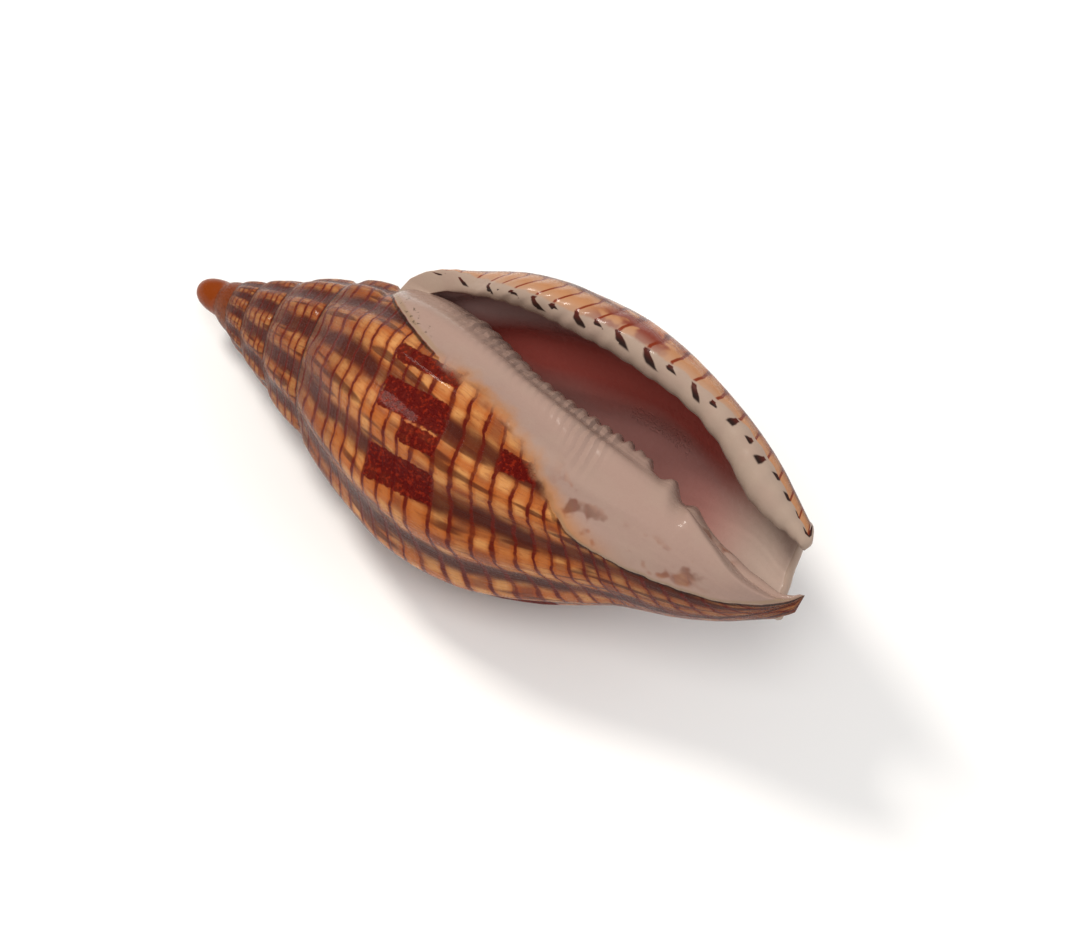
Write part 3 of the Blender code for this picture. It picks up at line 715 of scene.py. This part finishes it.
class Graph:  # short ways to lay out a material's nodes; each gives back an output to go on with
    def __init__(self, material):
        self.nodes, self.links = material.node_tree.nodes, material.node_tree.links

    def put(self, kind, inputs, **settings):
        node = self.nodes.new(kind)
        for name, value in settings.items():
            setattr(node, name, value)
        for name, value in inputs.items():
            if isinstance(value, bpy.types.NodeSocket):
                self.links.new(value, node.inputs[name])
            elif value is not None:
                node.inputs[name].default_value = value
        return node

    def calc(self, operation, a, b=None):
        return self.put("ShaderNodeMath", {0: a, 1: b}, operation=operation).outputs[0]

    def add(self, a, b):
        return self.calc("ADD", a, b)

    def times(self, a, b):
        return self.calc("MULTIPLY", a, b)

    def without(self, a):
        return self.calc("SUBTRACT", 1.0, a)

    def rise(self, x, low, high):  # 0 below low, 1 above high
        node = self.put("ShaderNodeMapRange", {0: x, 1: low, 2: high, 3: 0.0, 4: 1.0}, interpolation_type="SMOOTHSTEP")
        return node.outputs[0]

    def between(self, x, a, b, c, d):
        return self.times(self.rise(x, a, b), self.without(self.rise(x, c, d)))

    def mix(self, factor, a, b):
        node = self.put("ShaderNodeMix", {0: factor, 6: a, 7: b}, data_type="RGBA")
        return node.outputs[2]

    def blend(self, factor, a, b):
        return self.put("ShaderNodeMix", {0: factor, 2: a, 3: b}, data_type="FLOAT").outputs[0]

    def split(self, name):
        vector = self.put("ShaderNodeAttribute", {}, attribute_name=name).outputs["Vector"]
        return self.put("ShaderNodeSeparateXYZ", {0: vector}).outputs[:]

    def noise(self, x, y, z, detail=2.0):  # about 0.25 to 0.75
        place = self.put("ShaderNodeCombineXYZ", {0: x, 1: y, 2: z}).outputs[0]
        return self.put("ShaderNodeTexNoise", {"Vector": place, "Scale": 1.0, "Detail": detail}).outputs[0]

    def grain(self, size, detail=2.0):  # noise in space, with features of a size in millimetres
        place = self.put("ShaderNodeTexCoord", {}).outputs["Object"]
        scale = 1.0 / (size * mm)
        return self.put("ShaderNodeTexNoise", {"Vector": place, "Scale": scale, "Detail": detail}).outputs[0]

    def ramp(self, x, stops):
        node = self.put("ShaderNodeValToRGB", {0: x})
        elements = node.color_ramp.elements
        while len(elements) < len(stops):
            elements.new(0.5)
        for element, (position, color) in zip(elements, stops):
            element.position = position
            element.color = color
        return node.outputs[0]


def patternColor(g, line, rib, block, turn, height, fromSuture):  # the outside, as it grew, with painted shade laid into the rib valleys, on the spire and along the seam
    c, m = shellColors, markSettings
    slow = g.noise(g.times(line, 0.7), g.times(rib, 5.0), 0.0)
    line = g.add(line, g.times(g.add(slow, -0.5), m["lineWander"]))
    away = g.calc("PINGPONG", line, 0.5)
    band = g.calc("FLOOR", line)
    cell = g.noise(g.times(band, 3.7), g.times(rib, 4.5), 2.0, 1.0)
    light = g.rise(cell, 0.38, 0.62)
    base = g.mix(light, g.mix(0.35, c["orange"], c["cream"]), c["cream"])
    blush = g.noise(g.times(band, 1.3), g.times(rib, 2.6), 9.0)
    base = g.mix(g.times(g.rise(blush, 0.5, 0.66), 0.75), base, c["rose"])
    glow = g.times(g.without(g.rise(away, 0.12, 0.36)), 0.55)
    base = g.mix(glow, base, c["orange"])
    # the rib valleys are darkened towards brown and the crests kept light: painted shade that deepens the ribs
    swing = g.times(g.add(g.noise(g.times(line, 0.5), g.times(rib, 1.1), 31.0), -0.5), 0.5)
    crest = g.rise(g.add(g.calc("SUBTRACT", 0.5, g.calc("PINGPONG", rib, 0.5)), swing), 0.02, 0.3)
    base = g.mix(g.times(g.without(crest), 0.72), base, c["brown"])
    base = g.mix(g.times(g.rise(g.noise(g.times(line, 2.0), g.times(rib, 26.0), 4.0, 3.0), 0.5, 0.7), 0.35),
                 base, c["rose"])
    # the spire, a band under the seam and the lower body are darkened towards brown; on the spire this is painted shade
    # for the side turned from the light
    early = g.without(g.rise(turn, -400.0, -300.0))
    ends = g.calc("MAXIMUM", g.without(g.rise(fromSuture, 4.0, 11.0)), g.rise(height, 38.0, 48.0))
    base = g.mix(g.times(g.calc("MAXIMUM", g.times(early, 0.8), ends), 0.48), base, c["brown"])
    # dark stripes along the growth, strongest between the ribs; they are the shell's own colour, and on the spire they
    # are wider and stronger as painted shade in the rib valleys
    shift = g.times(g.add(g.noise(g.times(line, 0.45), g.times(rib, 1.5), 5.0), -0.5), 0.28)
    valley = g.calc("SUBTRACT", 0.5, g.calc("PINGPONG", g.add(rib, shift), 0.5))
    patchy = g.rise(g.noise(g.times(band, 1.9), g.times(rib, 1.0), 7.0, 1.0), 0.34, 0.5)
    valley = g.calc("SUBTRACT", valley, g.blend(early, *m["stripeWidth"]))
    weakest = g.blend(early, 0.4, 0.8)
    stripe = g.times(g.without(g.rise(valley, 0.04, 0.2)), g.blend(patchy, weakest, m["stripeStrength"]))
    faint = g.rise(g.noise(g.times(line, 0.22), g.times(rib, 5.5), 13.0, 1.5), 0.54, 0.64)
    stripe = g.calc("MAXIMUM", stripe, g.times(faint, 0.75))
    color = g.mix(stripe, base, c["stripe"])
    shoulder = g.times(g.without(g.rise(fromSuture, 0.6, 3.2)), g.blend(g.rise(slow, 0.35, 0.6), 0.35, 0.8))
    color = g.mix(shoulder, color, c["shoulder"])
    # spiral lines
    uneven = g.rise(g.noise(g.times(band, 0.9), g.times(rib, 3.0), 17.0), 0.35, 0.65)
    width = g.blend(uneven, *m["lineWidth"])
    inLine = g.without(g.rise(g.calc("DIVIDE", away, width), 0.6, 1.5))
    strength = g.blend(g.rise(slow, 0.3, 0.6), *m["lineStrength"])
    color = g.mix(g.times(inLine, strength), color, c["line"])
    # maroon blocks
    ragged = g.times(g.add(g.grain(0.45, 3.0), -0.5), 0.5)
    inBlock = g.rise(g.add(block, ragged), -0.05, 0.08)
    blockColor = g.mix(g.rise(g.grain(0.3, 3.0), 0.5, 0.66), c["block"], c["blockLight"])
    color = g.mix(g.times(inBlock, 0.96), color, blockColor)
    # the first whorls are plain
    first = growthSettings["firstTurn"]
    young = g.without(g.rise(turn, first + 470.0, first + 600.0))
    youngest = g.without(g.rise(turn, first + 330.0, first + 480.0))
    freckled = g.mix(g.rise(g.grain(0.6, 3.0), 0.45, 0.6), c["tipPale"], c["stripe"])
    color = g.mix(g.times(young, 0.85), color, freckled)
    # a thin dark line in the seam between whorls: painted shade in the crease
    color = g.mix(g.times(g.without(g.rise(fromSuture, 0.02, 0.3)), g.without(youngest)), color, c["creaseShade"])
    return g.mix(youngest, color, c["tip"]), inLine, inBlock


def callusColor(g, color, edge, height, deep):  # the glaze over the columella side, and painted shade in the crevice under its raised edge
    c = shellColors
    sharp = g.calc("MAXIMUM", g.without(g.rise(height, 24.0, 27.0)), g.rise(height, 37.0, 41.0))
    worn = g.times(g.add(g.grain(1.2, 3.0), -0.5), g.blend(sharp, 2.2, 0.25))
    place = g.add(edge, worn)
    hard = g.without(g.rise(place, -0.06, 0.06))
    soft = g.without(g.rise(place, -0.9, 0.8))
    cover = g.blend(sharp, soft, hard)
    glaze = g.mix(g.rise(place, -2.0, -0.1), c["callus"], c["peach"])
    glaze = g.mix(g.without(g.between(height, 25.5, 29.0, 40.0, 46.0)), glaze, c["callus"])
    through = g.times(g.rise(g.grain(1.7, 2.0), 0.5, 0.62), g.between(place, -3.6, -2.4, -0.8, -0.5))
    through = g.times(through, g.between(height, 37.0, 40.0, 50.0, 52.0))
    glaze = g.mix(g.times(through, 0.7), glaze, g.mix(0.5, color, c["through"]))
    rim = g.times(g.between(place, -0.6, -0.3, -0.1, 0.0), sharp)
    glaze = g.mix(g.times(rim, 0.7), glaze, c["callusEdge"])
    dirt = g.times(g.rise(g.grain(0.35, 2.0), 0.60, 0.66), g.between(place, -1.6, -1.2, -0.3, -0.1))
    glaze = g.mix(g.times(g.times(dirt, g.without(g.rise(height, 22.5, 24.5))), 0.8), glaze, c["dirt"])
    milky = g.times(g.rise(g.grain(2.5, 2.0), 0.4, 0.7), 0.25)
    glaze = g.mix(milky, glaze, c["white"])
    color = g.mix(cover, color, glaze)
    # a thin dark line just outside the glaze's raised edge: painted shade in the crevice beneath it
    under = g.times(g.between(place, 0.0, 0.1, 0.2, 0.42), sharp)
    color = g.mix(g.times(under, 0.85), color, c["creaseShade"])
    return g.mix(g.rise(deep, 0.6, 5.0), color, c["insideLight"]), cover


def lipColor(g, color, mouth, line, white, dash, size, height):  # the thick lip with its dark dashes
    c, m = shellColors, markSettings
    away = g.calc("PINGPONG", line, 0.5)
    varix = g.mix(g.times(g.between(height, 32.5, 35.0, 39.0, 41.5), g.rise(g.grain(1.6), 0.36, 0.52)),
                  c["varix"], c["varixRose"])
    varix = g.mix(g.times(g.rise(white, -0.9, 0.0), 0.45), varix, c["white"])
    varix = g.mix(g.times(g.without(g.rise(away, 0.035, 0.09)), 0.95), varix, c["varixLine"])
    color = g.mix(g.rise(mouth, -1.3, -0.2), color, varix)
    edge = g.times(g.add(g.grain(0.9), -0.5), 0.4)
    pale = g.mix(g.times(g.rise(g.grain(2.2, 3.0), 0.42, 0.65), 0.3), c["white"], c["callus"])
    color = g.mix(g.rise(g.add(white, edge), -0.1, 0.12), color, pale)
    length = g.times(size, m["dashLength"])
    along = g.calc("DIVIDE", dash, g.calc("MAXIMUM", length, 0.05))
    width = g.times(g.blend(g.rise(along, 0.1, 0.7), *m["dashWidth"]), g.blend(size, 0.75, 1.0))
    inDash = g.without(g.rise(g.calc("DIVIDE", away, width), 0.75, 1.3))
    inDash = g.times(inDash, g.between(along, -0.12, 0.02, 0.86, 1.08))
    inDash = g.times(inDash, g.rise(size, 0.1, 0.2))
    dashColor = g.mix(g.rise(along, 0.1, 0.8), c["dash"], c["dashDark"])
    return g.mix(g.times(inDash, 0.97), color, dashColor)


def insideColor(g, color, mouth, turn, height):  # the hollow, paler in bands
    c = shellColors
    wavy = g.add(turn, g.times(g.add(g.grain(6.0, 1.0), -0.5), 14.0))
    place = g.calc("DIVIDE", g.times(wavy, -1.0), hollowSettings["depth"])
    wall = g.ramp(place, [(0.0, c["insideEdge"]), (0.18, c["insideEdge"]), (0.25, c["insideDark"]),
                          (0.30, c["insideDark"]), (0.36, c["insideLight"]), (0.5, c["insideLight"]),
                          (0.7, c["insideDark"])])
    wall = g.mix(g.rise(height, 42.0, 51.0), wall, c["insideFront"])
    return g.mix(g.rise(mouth, 3.3, 4.6), color, wall)


def makeShellMaterial():
    material = bpy.data.materials.new("shell_surface")
    material.use_nodes = True
    g = Graph(material)
    line, rib, block = g.split("pattern")
    edge, mouth, deep = g.split("zone")
    turn, height, fromSuture = g.split("stage")
    white, dash, dashSize = g.split("lip")
    color, inLine, inBlock = patternColor(g, line, rib, block, turn, height, fromSuture)
    color, cover = callusColor(g, color, edge, height, deep)
    color = lipColor(g, color, mouth, line, white, dash, dashSize, height)
    color = insideColor(g, color, mouth, turn, height)
    surface = g.nodes["Principled BSDF"]
    g.links.new(color, surface.inputs["Base Color"])
    patches = g.rise(g.grain(0.8, 4.0), 0.3, 0.7)
    rough = g.add(g.blend(patches, *glossSettings["roughness"]), g.times(inBlock, glossSettings["blockRoughness"]))
    g.links.new(rough, surface.inputs["Roughness"])
    surface.inputs["Specular IOR Level"].default_value = glossSettings["specular"]
    g.links.new(g.times(g.without(g.times(inBlock, 0.85)), glossSettings["coat"]), surface.inputs["Coat Weight"])
    surface.inputs["Coat Roughness"].default_value = glossSettings["coatRoughness"]
    # fine relief: threads and growth lines outside, pits in the blocks, ridges across the columella side
    outside = g.times(g.without(cover), g.without(g.rise(mouth, -0.5, 0.3)))
    threads = g.calc("PINGPONG", g.times(line, markSettings["threads"]), 0.5)
    growthFine = g.noise(g.times(line, 0.6), g.times(rib, 44.0), 21.0, 3.0)
    relief = g.times(g.add(g.times(threads, 0.35), g.times(growthFine, 1.1)), outside)
    relief = g.add(relief, g.times(g.times(inLine, -0.35), outside))
    relief = g.add(relief, g.times(g.times(g.rise(g.grain(0.25, 1.0), 0.5, 0.62), inBlock), 0.7))
    relief = g.add(relief, g.times(g.grain(0.5, 4.0), 0.35))
    slant = g.times(g.add(turn, -foldSettings["slantFrom"]), -foldSettings["slant"])
    along = g.add(g.add(height, slant), g.times(g.add(g.grain(2.0), -0.5), 0.5))
    ridges = g.calc("PINGPONG", g.times(along, markSettings["ridges"]), 0.5)
    inRow = g.times(g.between(height, 20.0, 24.0, 38.0, 41.0), g.without(g.rise(edge, -5.5, -2.5)))
    relief = g.add(relief, g.times(g.times(g.times(ridges, inRow), cover), markSettings["ridgeStrength"]))
    bump = g.put("ShaderNodeBump", {"Strength": 1.0, "Distance": glossSettings["bump"], "Height": relief})
    g.links.new(bump.outputs[0], surface.inputs["Normal"])
    return material


shell.data.materials.append(makeShellMaterial())
print("shell material made")

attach(shell, "root")
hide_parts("shell")

cameraSettings = {
    "lean": 24.6,             # the tip leans this far away from the viewer, in degrees
    "distance": 420.0,        # in millimetres, from the aim
    "aim": (0.0, 0.0, 28.5),  # a point on the shell's axis
    "axisInPicture": 27.2,    # how far the axis slopes down to the right in the picture
    "lens": 183.2,
    "sensor": 36.0,
    "shift": (0.0438, -0.0330),
}


def makeCamera():
    b = math.radians(cameraSettings["lean"])
    a = math.radians(cameraSettings["axisInPicture"])
    along = np.array([0.0, -math.sin(b), math.cos(b)])
    side = np.array([1.0, 0.0, 0.0])
    right = directionToWorld(math.cos(a) * along + math.sin(a) * side)
    up = directionToWorld(-math.sin(a) * along + math.cos(a) * side)
    back = right.cross(up)
    place = toWorld(cameraSettings["aim"]) + back * cameraSettings["distance"] * mm
    camera = bpy.data.objects.new("camera", bpy.data.cameras.new("camera"))
    camera.matrix_world = Matrix.Translation(place) @ Matrix((right, up, back)).transposed().to_4x4()
    camera.data.lens = cameraSettings["lens"]
    camera.data.sensor_width = cameraSettings["sensor"]
    camera.data.shift_x, camera.data.shift_y = cameraSettings["shift"]
    camera.data.clip_start = 0.01
    camera.data.clip_end = 20.0
    bpy.context.scene.collection.objects.link(camera)
    bpy.context.scene.camera = camera
    return right, up, back


right, up, back = makeCamera()
print("camera placed")

floorSettings = {"size": 3.0, "color": (0.93, 0.925, 0.915, 1.0), "roughness": 0.85, "specular": 0.1}


def makeFloor():
    half = floorSettings["size"] / 2
    mesh = bpy.data.meshes.new("floor")
    mesh.from_pydata([(-half, -half, 0), (half, -half, 0), (half, half, 0), (-half, half, 0)], [], [(0, 1, 2, 3)])
    material = bpy.data.materials.new("floor")
    material.use_nodes = True
    surface = material.node_tree.nodes["Principled BSDF"]
    surface.inputs["Base Color"].default_value = floorSettings["color"]
    surface.inputs["Roughness"].default_value = floorSettings["roughness"]
    surface.inputs["Specular IOR Level"].default_value = floorSettings["specular"]
    mesh.materials.append(material)
    floor = bpy.data.objects.new("floor", mesh)
    bpy.context.scene.collection.objects.link(floor)


makeFloor()
print("floor made")

lightSettings = {  # directions are right, up and towards the viewer in the picture; metres and watts
    "aim": (0.0, 0.0, 30.0),
    "key": {"direction": (-0.43, 0.73, 0.55), "distance": 0.40, "size": 0.09, "power": 0.9,
            "color": (1.0, 0.95, 0.88)},
    "fill": {"direction": (0.75, 0.1, 0.65), "distance": 0.60, "size": 0.5, "power": 0.8,
             "color": (0.95, 0.97, 1.0)},
    "front": {"direction": (-0.05, 0.16, 1.0), "distance": 0.60, "size": 0.3, "power": 1.5,
              "color": (1.0, 0.98, 0.96)},
    "world": {"color": (1.0, 0.99, 0.98), "strength": 0.42},
}


def makeLights():
    centre = toWorld(lightSettings["aim"])
    for name in ("key", "fill", "front"):
        s = lightSettings[name]
        x, y, z = s["direction"]
        direction = (right * x + up * y + back * z).normalized()
        data = bpy.data.lights.new(name, "AREA")
        data.shape = "DISK"
        data.size = s["size"]
        data.energy = s["power"]
        data.color = s["color"]
        light = bpy.data.objects.new(name, data)
        light.location = centre + direction * s["distance"]
        light.rotation_euler = direction.to_track_quat("Z", "Y").to_euler()
        light.visible_glossy = name == "key"  # only the key is mirrored in the gloss
        bpy.context.scene.collection.objects.link(light)
    world = bpy.data.worlds.new("studio")
    world.use_nodes = True
    background = world.node_tree.nodes["Background"]
    background.inputs["Color"].default_value = (*lightSettings["world"]["color"], 1.0)
    background.inputs["Strength"].default_value = lightSettings["world"]["strength"]
    bpy.context.scene.world = world
    bpy.context.scene.view_settings.view_transform = "Standard"


makeLights()
print("lights placed")
